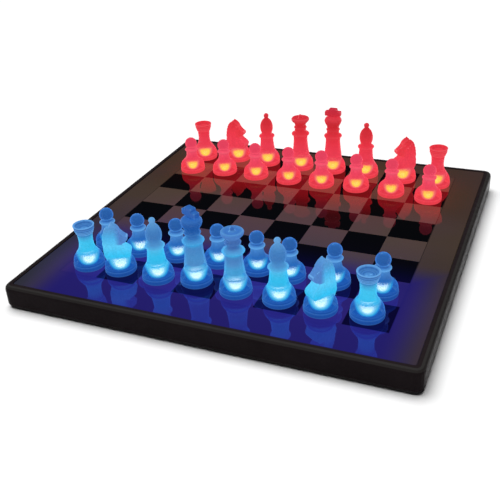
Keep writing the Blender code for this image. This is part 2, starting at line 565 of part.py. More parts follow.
def add_lead(name, route):
    """A round lead along a smooth curve through the route's points, as a mesh."""
    points = [Vector(p) for p in route]
    padded = [points[0] * 2 - points[1]] + points + [points[-1] * 2 - points[-2]]
    smooth_points = []
    for i in range(1, len(padded) - 2):
        for step in range(5):
            smooth_points.append(catmull_rom(padded[i - 1:i + 3], step / 5))
    smooth_points.append(points[-1])
    curve = bpy.data.curves.new(name + "_route", "CURVE")
    curve.dimensions = "3D"
    curve.bevel_depth = LEAD_R
    curve.bevel_resolution = 2
    curve.use_fill_caps = True
    spline = curve.splines.new("POLY")
    spline.points.add(len(smooth_points) - 1)
    for point, co in zip(spline.points, smooth_points):
        point.co = (*co, 1.0)
    obj = bpy.data.objects.new(name + "_route", curve)
    bpy.context.scene.collection.objects.link(obj)
    mesh = baked(obj)
    bpy.data.objects.remove(obj, do_unlink=True)
    bm = bmesh.new()
    bm.from_mesh(mesh)
    bmesh.ops.remove_doubles(bm, verts=bm.verts, dist=0.00001)
    bmesh.ops.recalc_face_normals(bm, faces=bm.faces)
    bm.to_mesh(mesh)
    bm.free()
    mesh.name = name
    smooth(mesh, 60.0)
    add_object(name, mesh, MATERIALS["lead"])


def catmull_rom(four, t):
    """A point on the smooth curve between the middle two of four points."""
    a, b, c, d = four
    return 0.5 * ((2 * b) + (c - a) * t + (2 * a - 5 * b + 4 * c - d) * t * t
                  + (3 * b - a - 3 * c + d) * t ** 3)


# ---- the chess men -----------------------------------------------------------------------------------
def pawn_mesh():
    """Ball head on a collar, a short stem and a wide foot."""
    head = arc_points(PAWN_HEAD_R / MM, PAWN_HEAD_Z / MM, 90.0, -38.0, 5)
    return turned_mesh("pawn", head + PAWN_OUTLINE, TURN_STEPS)


def rook_mesh():
    """Flared cup with a shallow dish on a waisted stem."""
    return turned_mesh("rook", ROOK_OUTLINE, TURN_STEPS)


def bishop_mesh():
    """Small ball finial on an egg-shaped head."""
    finial = arc_points(FINIAL_R / MM, FINIAL_Z / MM, 90.0, -30.0, 4)
    return turned_mesh("bishop", finial + BISHOP_OUTLINE, TURN_STEPS)


def queen_mesh():
    """Wide mushroom crown with a small button, over a ringed neck."""
    return turned_mesh("queen", QUEEN_OUTLINE, TURN_STEPS)


def king_mesh():
    """Flared crown that carries a thick cross."""
    obj = bpy.data.objects.new("king_build", turned_mesh("king_turned", KING_OUTLINE, TURN_STEPS))
    bpy.context.scene.collection.objects.link(obj)
    for label, (width, depth, low, high) in (("upright", CROSS_UPRIGHT), ("arm", CROSS_ARM)):
        bm = box_bmesh((width * MM, depth * MM, (high - low) * MM), (0, 0, (low + high) / 2 * MM))
        boolean(obj, cutter(f"king_cross_{label}", mesh_from(bm, f"king_cross_{label}")), "UNION")
    mesh = baked(obj)
    mesh.name = "king"
    bpy.data.objects.remove(obj, do_unlink=True)
    return mesh


def knight_mesh():
    """Horse's head and chest rising from a turned foot. The muzzle points along +X."""
    curve = bpy.data.curves.new("horse_outline", "CURVE")
    curve.dimensions = "2D"
    curve.fill_mode = "BOTH"
    curve.extrude = HORSE_HALF_T - HORSE_EDGE
    curve.bevel_depth = HORSE_EDGE
    curve.bevel_resolution = 0
    curve.offset = -HORSE_EDGE
    spline = curve.splines.new("POLY")
    spline.points.add(len(HORSE_OUTLINE) - 1)
    for point, (x, z) in zip(spline.points, HORSE_OUTLINE):
        point.co = (x * MM, z * MM, 0.0, 1.0)
    spline.use_cyclic_u = True
    outline = bpy.data.objects.new("horse_outline", curve)
    bpy.context.scene.collection.objects.link(outline)
    horse = baked(outline)
    bpy.data.objects.remove(outline, do_unlink=True)
    bm = bmesh.new()
    bm.from_mesh(horse)
    bmesh.ops.remove_doubles(bm, verts=bm.verts, dist=0.00001)
    bmesh.ops.rotate(bm, cent=(0, 0, 0), matrix=Matrix.Rotation(math.pi / 2, 3, "X"), verts=bm.verts)
    horse = mesh_from(bm, "horse")
    obj = bpy.data.objects.new("knight_build", turned_mesh("knight_foot", KNIGHT_FOOT_OUTLINE, TURN_STEPS))
    bpy.context.scene.collection.objects.link(obj)
    boolean(obj, cutter("horse", horse), "UNION")
    mesh = baked(obj)
    mesh.name = "knight"
    bpy.data.objects.remove(obj, do_unlink=True)
    return mesh


MEN = {"pawn": pawn_mesh, "rook": rook_mesh, "knight": knight_mesh, "bishop": bishop_mesh,
       "queen": queen_mesh, "king": king_mesh}


def square_centre(column, row):
    """Middle of a square: column 0 is the a-file side, row 0 is the near rank."""
    return ((column - 3.5) * SQUARE, (row - 3.5) * SQUARE + FIELD_SHIFT_Y)


def place_men():
    """Stand all 32 men on their home squares, each a little off the middle, as a person sets them."""
    shapes = {kind: make() for kind, make in MEN.items()}
    for mesh in shapes.values():
        smooth(mesh, 35.0)
    ranks = [("blue", "back", 0, NEAR_RANK), ("blue", "pawn", 1, ["pawn"] * 8),
             ("red", "pawn", 6, ["pawn"] * 8), ("red", "back", 7, BACK_RANK)]
    for colour, rank, row, kinds in ranks:
        offsets = OFF_SQUARE[f"{colour}_{rank}"]
        for column, kind in enumerate(kinds):
            mesh = shapes[kind].copy()
            mesh.materials.clear()
            mesh.materials.append(MATERIALS[colour])
            x, y = square_centre(column, row)
            dx, dy = offsets[column]
            facing = math.radians(KNIGHT_FACING[colour][column // 4]) if kind == "knight" else 0.0
            name = f"{colour}_{kind}" + man_suffix(kind, column)
            add_object(name, mesh, None, (x + dx * MM, y + dy * MM, PIECE_Z), facing)


def man_suffix(kind, column):
    """Pawns are numbered by file; paired men are called left and right; king and queen are single."""
    if kind == "pawn":
        return f"_{column + 1}"
    if kind in ("king", "queen"):
        return ""
    return "_left" if column < 4 else "_right"


make_frame()
make_glass_stack()
make_base_pan()
make_feet_and_screws()
make_battery_bay()
make_power_parts()
place_men()
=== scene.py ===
"""Looks for the lit chess set: frosted chessmen with a lamp in each foot, on a smoked glass board.

Everything is in metres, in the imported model's frame. Outlines of the men are in millimetres.
"""

import math

import bmesh
import bpy
import numpy as np
from mathutils import Matrix, Vector


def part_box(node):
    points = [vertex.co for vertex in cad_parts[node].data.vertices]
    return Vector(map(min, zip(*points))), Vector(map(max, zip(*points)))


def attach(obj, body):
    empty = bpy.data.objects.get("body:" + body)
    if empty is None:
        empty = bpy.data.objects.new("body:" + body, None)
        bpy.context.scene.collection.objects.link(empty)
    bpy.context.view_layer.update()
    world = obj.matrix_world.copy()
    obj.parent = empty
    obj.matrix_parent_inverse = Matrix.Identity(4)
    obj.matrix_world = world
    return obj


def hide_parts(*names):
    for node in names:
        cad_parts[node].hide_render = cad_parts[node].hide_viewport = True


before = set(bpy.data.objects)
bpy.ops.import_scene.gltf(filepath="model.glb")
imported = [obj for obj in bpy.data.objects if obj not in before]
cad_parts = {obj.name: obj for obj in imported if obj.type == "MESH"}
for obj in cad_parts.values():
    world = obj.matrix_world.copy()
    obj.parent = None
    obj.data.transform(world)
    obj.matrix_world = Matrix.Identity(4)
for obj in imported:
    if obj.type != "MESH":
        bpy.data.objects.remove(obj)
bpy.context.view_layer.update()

MM = 0.001

# ---- the board, as the CAD model has it --------------------------------------------------------
GLASS_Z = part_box("glass_top")[1][2]
SQUARE = 38.5 * MM
FIELD_SHIFT_Y = 5.0 * MM

# ---- camera ------------------------------------------------------------------------------------
CAMERA_AZIMUTH = 24.01
CAMERA_ELEVATION = 29.37
CAMERA_ROLL = -3.149
CAMERA_DISTANCE = 0.7222
CAMERA_TARGET = Vector((-0.0007, -0.0597, GLASS_Z))
CAMERA_LENS = 54.83

# ---- light -------------------------------------------------------------------------------------
SUN_STRENGTH = 4.1
UNDER_FILL_STRENGTH = 4.0
ROOM_STRENGTH = 0.012
FLOOR_GAP = 0.2 * MM            # the floor lies this far below the feet
SUN_GAIN = math.pi / SUN_STRENGTH / 0.96    # base colour that shows as a given colour under the sun

# ---- chess men: sizes shared by their pieces ---------------------------------------------------
TURN_SIDES, CAP_SIDES, LAMP_SIDES, CONTACT_SIDES = 44, 36, 24, 20      # round a turned shape
CAP_H = 0.55                    # black cap let into the underside of each foot, in millimetres
FOOT_TOP = 15.6                 # where the stem leaves the foot
KING_FACING = {"blue": -26, "red": 0}                   # degrees that the cross is turned by
KNIGHT_FACING = {"blue": (25, 235), "red": (0, 215)}    # left and right knight, degrees from +X
EDGE_HIGHLIGHT = 0.8                 # how much of the painted highlight shows on the case's upper edge


def srgb(red, green, blue, gain=1.0):
    """Display colour 0-255 to the linear colour that shaders use."""
    def one(value):
        c = value / 255.0
        return gain * (c / 12.92 if c <= 0.04045 else ((c + 0.055) / 1.055) ** 2.4)
    return (one(red), one(green), one(blue))


# ---- node helpers ------------------------------------------------------------------------------
class Look:
    """A material under construction: its node tree, its Principled shader and short-cuts."""

    def __init__(self, name, colour=(0.5, 0.5, 0.5), roughness=0.5, metallic=0.0, **sockets):
        self.material = bpy.data.materials.new(name)
        self.material.use_nodes = True
        self.tree = self.material.node_tree
        self.shader = self.tree.nodes["Principled BSDF"]
        self.output = self.tree.nodes["Material Output"]
        self.set(**{"Base Color": (*colour, 1.0), "Roughness": roughness, "Metallic": metallic})
        self.set(**sockets)

    def set(self, **sockets):
        for name, value in sockets.items():
            self.shader.inputs[name].default_value = value

    def node(self, kind, values=None, **settings):
        made = self.tree.nodes.new(kind)
        for key, value in settings.items():
            setattr(made, key, value)
        for key, value in (values or {}).items():
            self.feed(made.inputs[key], value)
        return made

    def feed(self, socket, value):
        if isinstance(value, bpy.types.NodeSocket):
            self.tree.links.new(value, socket)
        elif isinstance(value, tuple) and len(value) == 3 and socket.type == "RGBA":
            socket.default_value = (*value, 1.0)
        else:
            socket.default_value = value

    def place(self):
        return self.node("ShaderNodeTexCoord").outputs["Object"]

    def noise(self, scale, detail=3.0, roughness=0.5, vector=None, distortion=0.0):
        values = {"Vector": vector or self.place(), "Scale": scale, "Detail": detail,
                  "Roughness": roughness, "Distortion": distortion}
        return self.node("ShaderNodeTexNoise", values).outputs["Fac"]

    def stretched(self, scale_xyz):
        values = {"Vector": self.place(), "Scale": scale_xyz}
        return self.node("ShaderNodeMapping", values).outputs[0]

    def math(self, operation, a, b=0.0, clamp=False):
        made = self.node("ShaderNodeMath", operation=operation, use_clamp=clamp)
        self.feed(made.inputs[0], a)
        self.feed(made.inputs[1], b)
        return made.outputs[0]

    def span(self, value, low, high, out_low=0.0, out_high=1.0, smooth=True):
        kind = "SMOOTHSTEP" if smooth else "LINEAR"
        return self.node("ShaderNodeMapRange", {
            "Value": value, "From Min": low, "From Max": high, "To Min": out_low,
            "To Max": out_high}, interpolation_type=kind).outputs["Result"]

    def mix(self, factor, a, b, blend="MIX"):
        made = self.node("ShaderNodeMix", data_type="RGBA", blend_type=blend, clamp_factor=True)
        self.feed(made.inputs[0], factor)
        self.feed(made.inputs[6], a)
        self.feed(made.inputs[7], b)
        return made.outputs[2]

    def attribute(self, name, output="Color"):
        return self.node("ShaderNodeAttribute", attribute_name=name).outputs[output]

    def scaled(self, colour, factor):
        made = self.node("ShaderNodeVectorMath", {0: colour, "Scale": factor}, operation="SCALE")
        return made.outputs[0]

    def backfacing(self):
        return self.node("ShaderNodeNewGeometry").outputs["Backfacing"]

    def let_through(self, share):
        """Let a share of the light straight through the surface."""
        through = self.node("ShaderNodeBsdfTransparent")
        blend = self.node("ShaderNodeMixShader", {0: share, 1: self.shader.outputs[0],
                                                  2: through.outputs[0]})
        self.feed(self.output.inputs["Surface"], blend.outputs[0])

    def clear_by(self, attribute):
        """Let light through the near side only, as a point attribute says."""
        near = self.math("SUBTRACT", 1.0, self.backfacing())
        self.let_through(self.math("MULTIPLY", self.attribute(attribute, "Fac"), near, clamp=True))
        self.material.cycles.emission_sampling = "NONE"

    def bump(self, height, strength, distance=0.0005):
        made = self.node("ShaderNodeBump", {"Height": height, "Strength": strength,
                                            "Distance": distance})
        self.feed(self.shader.inputs["Normal"], made.outputs[0])

    def vary(self, name, value):
        self.feed(self.shader.inputs[name], value)


def plastic(name, colour, roughness, grain=900.0, bump=0.12, wear=0.25, level=0.5, ior=1.5,
            edge=None):
    """Moulded plastic: fine grain, faint mottling, uneven gloss, and a painted highlight on the
    upper edges if an edge colour is given.
    """
    look = Look(name, colour, roughness, **{"Specular IOR Level": level, "IOR": ior})
    cloud = look.noise(35.0, 4.0)
    light = tuple(min(1.0, c * (1 + wear) + 0.002) for c in colour)
    dark = tuple(c * (1 - wear) for c in colour)
    mottled = look.mix(cloud, dark, light)
    if edge:
        # a painted highlight on the faces that slope round the upper edges
        facing = look.node("ShaderNodeTexCoord").outputs["Normal"]
        rise = look.node("ShaderNodeSeparateXYZ", {"Vector": facing}).outputs["Z"]
        sloping = look.math("MULTIPLY", look.span(rise, 0.60, 0.82), look.span(rise, 0.995, 0.95))
        mottled = look.mix(look.math("MULTIPLY", sloping, EDGE_HIGHLIGHT), mottled, edge)
    look.vary("Base Color", mottled)
    look.vary("Roughness", look.span(look.noise(120.0, 5.0), 0.3, 0.7, roughness * 0.85,
                                     min(1.0, roughness * 1.2)))
    look.bump(look.noise(grain, 2.0), bump, 0.0002)
    return look.material


def metal(name, colour, roughness, stretch=(1.0, 12.0, 1.0), bump=0.10):
    """Plated or drawn metal: brushed streaks along one way and a little tarnish."""
    look = Look(name, colour, roughness, 1.0)
    streak = look.noise(220.0, 4.0, vector=look.stretched(stretch))
    tarnish = look.span(look.noise(60.0, 3.0), 0.45, 0.75)
    worn = tuple(c * 0.62 for c in colour)
    look.vary("Base Color", look.mix(look.math("MULTIPLY", tarnish, 0.5), colour, worn))
    look.vary("Roughness", look.span(streak, 0.3, 0.7, roughness * 0.7, roughness * 1.5))
    look.bump(streak, bump, 0.0001)
    return look.material


# ---- board materials ---------------------------------------------------------------------------
SQUARE_PINK = srgb(80, 62, 57, SUN_GAIN)
SQUARE_OLIVE = srgb(75, 64, 51, SUN_GAIN)
BORDER_PINK = srgb(68, 56, 52, SUN_GAIN)
BORDER_OLIVE = srgb(68, 57, 44, SUN_GAIN)
LEFT_SHADE_GREY = srgb(50, 51, 50, SUN_GAIN)      # the border beside the left blue men, greyer and darker: painted shade
DARK_SQUARE = srgb(5, 6, 7, SUN_GAIN)
LINE_WIDTH = 0.02               # of the line round the field, in squares
LINE_SHARE = 0.5
SHADE_NEAR_BLUE = 0.12          # the print keeps this share of its brightness beside the blue men
SHADE_SPARED_LEFT = 0.85        # and the left border is spared this share of the shade
BLUE_GLOW_PAINTED = (0.002, 0.008, 0.095)       # painted glow of lamp light scattered in the glass there
VIOLET_GLOW_PAINTED = (0.010, 0.008, 0.130)     # and right beside the men
# the dark squares lose this share of the painted glow, and take this share of their own reflection
# tint
GLOW_LOST_ON_DARK = 0.80
BLUE_RANKS_X = 0.15 * SQUARE    # middle and half size of the box that the blue men stand in
BLUE_RANKS_Y = -3.6 * SQUARE + FIELD_SHIFT_Y
BLUE_HALF_DEPTH, BLUE_HALF_WIDTH = 1.5 * SQUARE, 3.85 * SQUARE
# a painted tint on the glass's reflections, by zone
TINT_NEAR_BLUE, TINT_ON_DARK = (0.14, 0.22, 1.0, 1.0), (0.20, 0.04, 0.40, 1.0)
TINT_MIDDLE, TINT_NEAR_RED = (0.02, 0.02, 0.04, 1.0), (1.0, 0.03, 0.04, 1.0)


def glass_board_look():
    """Polished smoked glass with a chequer print behind it, painted shade and blue glow round the
    blue men, and a painted tint on its reflections.
    """
    look = Look("smoked_glass", BORDER_PINK, 0.05, **{"IOR": 2.4, "Specular IOR Level": 0.5})
    xyz = look.node("ShaderNodeSeparateXYZ", {"Vector": look.place()})

    def times(a, b):
        return look.math("MULTIPLY", a, b)

    def less(a, b):
        return look.math("SUBTRACT", a, b)

    # where a point is: squares from the field's middle, and inside the field or on its line
    across = look.math("DIVIDE", xyz.outputs["X"], SQUARE)
    along = look.math("DIVIDE", less(xyz.outputs["Y"], FIELD_SHIFT_Y), SQUARE)
    steps = look.math("ADD", look.math("FLOOR", across), look.math("FLOOR", along))
    reach = look.math("MAXIMUM", look.math("ABSOLUTE", across), look.math("ABSOLUTE", along))
    inside = look.math("LESS_THAN", reach, 4.0)
    line = times(look.math("GREATER_THAN", reach, 4.0),
                 look.math("LESS_THAN", reach, 4.0 + LINE_WIDTH))
    dark = times(look.math("FLOORED_MODULO", steps, 2.0), inside)
    left = times(look.span(across, -3.95, -4.7), look.span(along, -0.6, -2.4))

    # the print, greyer and darker on the left border beside the blue men as painted shade
    cloud = look.span(look.noise(7.0, 3.0), 0.35, 0.65)
    border = look.mix(left, look.mix(cloud, BORDER_PINK, BORDER_OLIVE), LEFT_SHADE_GREY)
    print_and_shade = look.mix(inside, border, look.mix(cloud, SQUARE_PINK, SQUARE_OLIVE))
    print_and_shade = look.mix(dark, print_and_shade, DARK_SQUARE)
    print_and_shade = look.mix(times(line, LINE_SHARE), print_and_shade, DARK_SQUARE)

    # painted blue lamp light in the glass round the blue men, and painted shade that darkens the
    # print there
    past_sides = less(look.math("ABSOLUTE", less(xyz.outputs["X"], BLUE_RANKS_X)), BLUE_HALF_WIDTH)
    past_ranks = less(look.math("ABSOLUTE", less(xyz.outputs["Y"], BLUE_RANKS_Y)), BLUE_HALF_DEPTH)
    beside = look.math("MAXIMUM", past_ranks, past_sides)
    near_blue = look.span(beside, 1.0 * SQUARE, -0.1 * SQUARE)
    close = look.span(beside, 0.7 * SQUARE, 0.1 * SQUARE)
    shaded = times(near_blue, less(1.0, times(left, SHADE_SPARED_LEFT)))
    shade = less(1.0, times(shaded, 1.0 - SHADE_NEAR_BLUE))
    grain = look.span(look.noise(900.0, 2.0), 0.3, 0.7, 0.95, 1.05)
    look.vary("Base Color", look.scaled(print_and_shade, times(shade, grain)))
    on_dark = times(dark, GLOW_LOST_ON_DARK)
    look.vary("Emission Color", look.scaled(look.mix(close, BLUE_GLOW_PAINTED, VIOLET_GLOW_PAINTED),
                                            times(near_blue, less(1.0, on_dark))))
    look.set(**{"Emission Strength": 1.0})

    # a painted tint on the reflections: blue towards the blue men, red towards the red men
    tint = look.mix(look.span(along, -1.4, 0.0), look.mix(on_dark, TINT_NEAR_BLUE, TINT_ON_DARK),
                    TINT_MIDDLE)
    look.vary("Specular Tint", look.mix(look.span(along, 0.6, 2.0), tint, TINT_NEAR_RED))
    smears = look.noise(9.0, 5.0, 0.6, distortion=0.8)
    look.vary("Roughness", look.span(smears, 0.45, 0.8, 0.035, 0.075))
    return look.material


# the case's paler edge colour is a painted highlight along its upper edge
CASE = plastic("case_black", srgb(30, 24, 26), 0.26, grain=1300.0, bump=0.04, level=0.02, ior=1.38,
               edge=srgb(52, 52, 50))
CASE_UNDER = plastic("case_under", srgb(30, 28, 27), 0.5, grain=700.0, bump=0.35, wear=0.1,
                     level=0.35)
GLASS_BOARD = glass_board_look()


# ---- chess men: materials ----------------------------------------------------------------------
def lit_glass(name, body, pale, roughness=0.42):
    """Frosted pressed glass with painted lamp light from its 'glow' attribute, a painted highlight
    on crests, painted shade in grooves, and clearness as 'clear' says.
    """
    look = Look(name, body, roughness, **{"Emission Strength": 1.0, "IOR": 1.45,
                                          "Specular IOR Level": 0.25, "Sheen Weight": 0.6,
                                          "Sheen Roughness": 0.35, "Sheen Tint": (*pale, 1.0)})
    frost = look.span(look.noise(620.0, 4.0, 0.65), 0.25, 0.75, 0.88, 1.12)
    streak = look.noise(240.0, 3.0, vector=look.stretched((1.0, 1.0, 0.25)))
    lit = look.scaled(look.attribute("glow"), look.math("MULTIPLY", frost, look.span(
        streak, 0.25, 0.75, 0.97, 1.03)))
    # painted highlight on crests and painted shade in grooves, found from the mesh's pointiness
    relief = look.node("ShaderNodeNewGeometry").outputs["Pointiness"]
    crest = look.span(relief, 0.505, 0.60)
    groove = look.span(relief, 0.495, 0.42)
    crest_highlighted = look.mix(look.math("MULTIPLY", crest, 0.55), lit, pale)
    shaded = look.scaled(crest_highlighted, look.math("SUBTRACT", 1.0, look.math("MULTIPLY", groove, 0.45)))
    look.vary("Emission Color", shaded)
    look.vary("Roughness", look.span(look.noise(420.0, 3.0), 0.3, 0.7, roughness * 0.8,
                                     roughness * 1.25))
    look.bump(look.noise(1500.0, 2.0), 0.16, 0.0002)
    look.clear_by("clear")
    return look.material


def glow_shell(name):
    """A layer of lamp light inside a foot: it only glows, and shows the layers within."""
    look = Look(name, (0.0, 0.0, 0.0), 1.0, **{"Emission Strength": 1.0,
                                               "Specular IOR Level": 0.0})
    cloud = look.span(look.noise(300.0, 2.0), 0.25, 0.75, 0.97, 1.03)
    look.vary("Emission Color", look.scaled(look.attribute("glow"), cloud))
    look.clear_by("clear")
    return look.material


# the second colour is the sheen tint and the painted highlight on crests
SKINS = {
    "blue": lit_glass("frosted_blue", (0.010, 0.040, 0.085), srgb(120, 185, 240)),
    "red": lit_glass("frosted_red", (0.085, 0.008, 0.012), srgb(250, 120, 130)),
}
GLOWS = {"blue": glow_shell("lamp_glow_blue"), "red": glow_shell("lamp_glow_red")}
CAP = plastic("foot_cap_black", srgb(20, 19, 22), 0.45, level=0.3)
CONTACT = metal("foot_contact", (0.80, 0.66, 0.36), 0.25)


# ---- chess men: outlines -----------------------------------------------------------------------
def bead(inner, outer, middle, half, count=6):
    """A round ring standing out of a stem, as outline points from its top to its bottom."""
    turn = [math.pi * (i + 0.5) / count for i in range(count)]
    return [(inner + (outer - inner) * math.sin(a), middle + half * math.cos(a)) for a in turn]


def ball(radius, middle, start_deg, end_deg, count=12):
    """Part of a ball's outline, from its top downwards."""
    turn = [math.radians(start_deg + (end_deg - start_deg) * i / (count - 1)) for i in range(count)]
    return [(max(0.0, radius * math.cos(a)), middle + radius * math.sin(a)) for a in turn]


# out from the foot's dome and down from its edge: groove, band and lower edge
FOOT_SKIRT = [(0.0, 0.0), (-0.3, -0.9), (0.3, -1.3), (0.45, -2.0), (0.45, -4.6), (0.25, -5.4),
              (-0.5, -6.1)]
FOOT = [(10.2, FOOT_TOP), (10.9, 14.3), (12.3, 12.4), (13.4, 10.2), (13.9, 8.2)] + [
    (14.05 + out, 6.4 + down) for out, down in FOOT_SKIRT]
OUTLINES = {
    "pawn": ball(6.7, 33.3, 90, -40, 14) + [(4.9, 28.3)] + bead(5.2, 7.5, 26.0, 1.5)
    + [(6.0, 23.8), (5.9, 21.5), (6.3, 18.8), (7.3, 16.4), (9.2, 14.2), (11.4, 12.2),
       (12.9, 10.2), (13.5, 8.2)] + [(13.6 + out, 6.4 + down) for out, down in FOOT_SKIRT],
    "rook": [(0.0, 38.9), (2.6, 38.8), (4.6, 39.3), (5.2, 40.0), (5.6, 39.5), (7.0, 40.0),
             (7.8, 41.2), (8.2, 42.4)]
    + bead(8.4, 9.9, 42.7, 0.7, 4)
    + [(9.5, 41.2), (9.3, 40.0)] + bead(8.0, 9.3, 38.7, 0.6, 4)
    + bead(7.3, 8.7, 37.0, 0.6, 4) + bead(6.8, 8.1, 35.3, 0.6, 4)
    + [(7.0, 33.2), (6.7, 29.8), (6.5, 26.8), (6.8, 23.2), (7.4, 20.2), (8.6, 17.6)] + FOOT,
    "bishop": ball(2.9, 58.4, 90, -48, 9) + [(2.2, 55.9), (3.4, 54.6), (5.3, 52.4), (6.6, 49.6),
                                            (7.35, 46.4), (7.3, 43.2), (6.7, 40.4), (5.9, 38.0),
                                            (5.8, 36.9)]
    + bead(6.3, 9.0, 34.0, 1.7) + [(7.5, 31.6), (7.35, 29.5), (7.7, 25.0), (8.3, 20.5),
                                  (9.1, 17.2)] + FOOT,
    "queen": ball(2.0, 62.2, 90, -30, 7) + [(2.6, 60.2), (4.4, 59.4), (6.4, 59.5), (7.9, 60.3),
                                           (8.9, 60.6), (9.8, 59.8), (10.0, 58.6), (9.6, 57.1),
                                           (8.2, 55.6), (6.7, 54.2), (6.1, 52.4), (6.1, 50.8)]
    + bead(6.2, 7.2, 49.4, 0.9, 5) + [(6.3, 47.6), (6.4, 45.4), (6.8, 44.3)]
    + bead(7.0, 10.1, 41.6, 1.9) + [(8.0, 38.9), (7.7, 36.6), (7.9, 32.0), (8.5, 25.5),
                                   (9.3, 19.5)] + FOOT,
    "king": [(0.0, 65.5), (3.4, 65.3), (6.0, 64.7), (8.2, 63.4), (9.4, 61.4), (9.5, 59.6),
             (8.7, 57.2), (7.4, 55.0), (6.6, 53.2), (6.5, 51.4)]
    + bead(6.6, 7.6, 49.9, 0.9, 5) + [(6.7, 48.2), (6.7, 46.0), (7.1, 44.9)]
    + bead(7.2, 10.0, 42.3, 1.8) + [(8.3, 39.8), (8.0, 37.6), (8.3, 32.0), (9.0, 25.5),
                                   (9.8, 19.0)] + FOOT,
    "knight": [(0.0, 14.6), (8.8, 14.7)] + FOOT,
}


def softened(outline, passes=1):
    """The outline with its corners cut, so that pressed edges turn round."""
    points = [tuple(p) for p in outline]
    for _ in range(passes):
        cut = [points[0]]
        for (r0, z0), (r1, z1) in zip(points, points[1:]):
            cut.append((0.75 * r0 + 0.25 * r1, 0.75 * z0 + 0.25 * z1))
            cut.append((0.25 * r0 + 0.75 * r1, 0.25 * z0 + 0.75 * z1))
        points = cut + [points[-1]]
    return points


def turned(outline, sides=TURN_SIDES, close_bottom=True):
    """A mesh turned about the Z axis from an outline in millimetres, listed from its top down."""
    bm = bmesh.new()
    rings = []
    for radius, height in outline:
        if radius < 0.02:
            rings.append([bm.verts.new((0.0, 0.0, height * MM))])
            continue
        rings.append([bm.verts.new((radius * MM * math.cos(math.tau * i / sides),
                                    radius * MM * math.sin(math.tau * i / sides), height * MM))
                      for i in range(sides)])
    for upper, lower in zip(rings, rings[1:]):
        for i in range(sides):
            j = (i + 1) % sides
            corners = [upper[i % len(upper)], lower[i % len(lower)], lower[j % len(lower)],
                       upper[j % len(upper)]]
            unique = list(dict.fromkeys(corners))
            if len(unique) > 2:
                bm.faces.new(unique)
    if close_bottom and len(rings[-1]) > 1:
        bm.faces.new(list(reversed(rings[-1])))
    bmesh.ops.recalc_face_normals(bm, faces=bm.faces)
    return bm


def finished_mesh(bm, name, crease_deg=50.0):
    """A named, smooth-shaded mesh from a bmesh."""
    mesh = bpy.data.meshes.new(name)
    bm.to_mesh(mesh)
    bm.free()
    mesh.shade_smooth()
    mesh.set_sharp_from_angle(angle=math.radians(crease_deg))
    return mesh


def piece(name, mesh, material, location=(0, 0, 0), turn=0.0):
    """Put a mesh into the scene as a named piece with one material."""
    obj = bpy.data.objects.new(name, mesh)
    obj.location = location
    obj.rotation_euler[2] = turn
    bpy.context.scene.collection.objects.link(obj)
    if material:
        mesh.materials.clear()
        mesh.materials.append(material)
    return obj


def evaluated_mesh(obj):
    """The mesh of an object with its modifiers applied; the object itself is removed."""
    depsgraph = bpy.context.evaluated_depsgraph_get()
    mesh = bpy.data.meshes.new_from_object(obj.evaluated_get(depsgraph))
    bpy.data.objects.remove(obj, do_unlink=True)
    return mesh


# ---- chess men: cross and horse ----------------------------------------------------------------
def add_block(bm, size, centre, bevel=0.0, segments=2):
    """Add a box with rounded edges, in millimetres, to a bmesh."""
    made = bmesh.ops.create_cube(bm, size=1.0)
    verts = made["verts"]
    bmesh.ops.scale(bm, vec=Vector(size) * MM, verts=verts)
    bmesh.ops.translate(bm, vec=Vector(centre) * MM, verts=verts)
    if bevel:
        edges = list({e for v in verts for e in v.link_edges})
        bmesh.ops.bevel(bm, geom=edges, offset=bevel * MM, segments=segments, affect="EDGES",
                        profile=0.5)


def add_ball(bm, radius, centre, squeeze=(1, 1, 1), sides=16):
    """Add a squeezed ball, in millimetres, to a bmesh."""
    made = bmesh.ops.create_uvsphere(bm, u_segments=sides, v_segments=sides // 2,
                                     radius=radius * MM)
    bmesh.ops.scale(bm, vec=squeeze, verts=made["verts"])
    bmesh.ops.translate(bm, vec=Vector(centre) * MM, verts=made["verts"])


def remeshed(bm, voxel, smoothing):
    """One skin over everything in a bmesh, smoothed."""
    mesh = bpy.data.meshes.new("remesh_source")
    bm.to_mesh(mesh)
    bm.free()
    obj = bpy.data.objects.new("remesh_source", mesh)
    bpy.context.scene.collection.objects.link(obj)
    remesh = obj.modifiers.new("skin", "REMESH")
    remesh.mode = "VOXEL"
    remesh.voxel_size = voxel * MM
    smooth = obj.modifiers.new("smooth", "SMOOTH")
    smooth.factor = 0.5
    smooth.iterations = smoothing
    return evaluated_mesh(obj)


def united(first, second, name):
    """Two closed meshes joined into one skin."""
    objs = []
    for i, mesh in enumerate((first, second)):
        obj = bpy.data.objects.new(f"{name}_{i}", mesh)
        bpy.context.scene.collection.objects.link(obj)
        objs.append(obj)
    join = objs[0].modifiers.new("join", "BOOLEAN")
    join.operation = "UNION"
    join.solver = "EXACT"
    join.object = objs[1]
    mesh = evaluated_mesh(objs[0])
    bpy.data.objects.remove(objs[1], do_unlink=True)
    mesh.name = name
    mesh.shade_smooth()
    return mesh


def king_mesh():
    """The king's turned body with the thick cross on its crown."""
    cross = bmesh.new()
    add_block(cross, (9.2, 6.4, 10.0), (0, 0, 69.0), 1.1)
    add_block(cross, (18.0, 6.4, 5.6), (0, 0, 68.3), 1.1)
    body = finished_mesh(turned(softened(OUTLINES["king"])), "king_body")
    return united(body, remeshed(cross, 0.45, 3), "king")


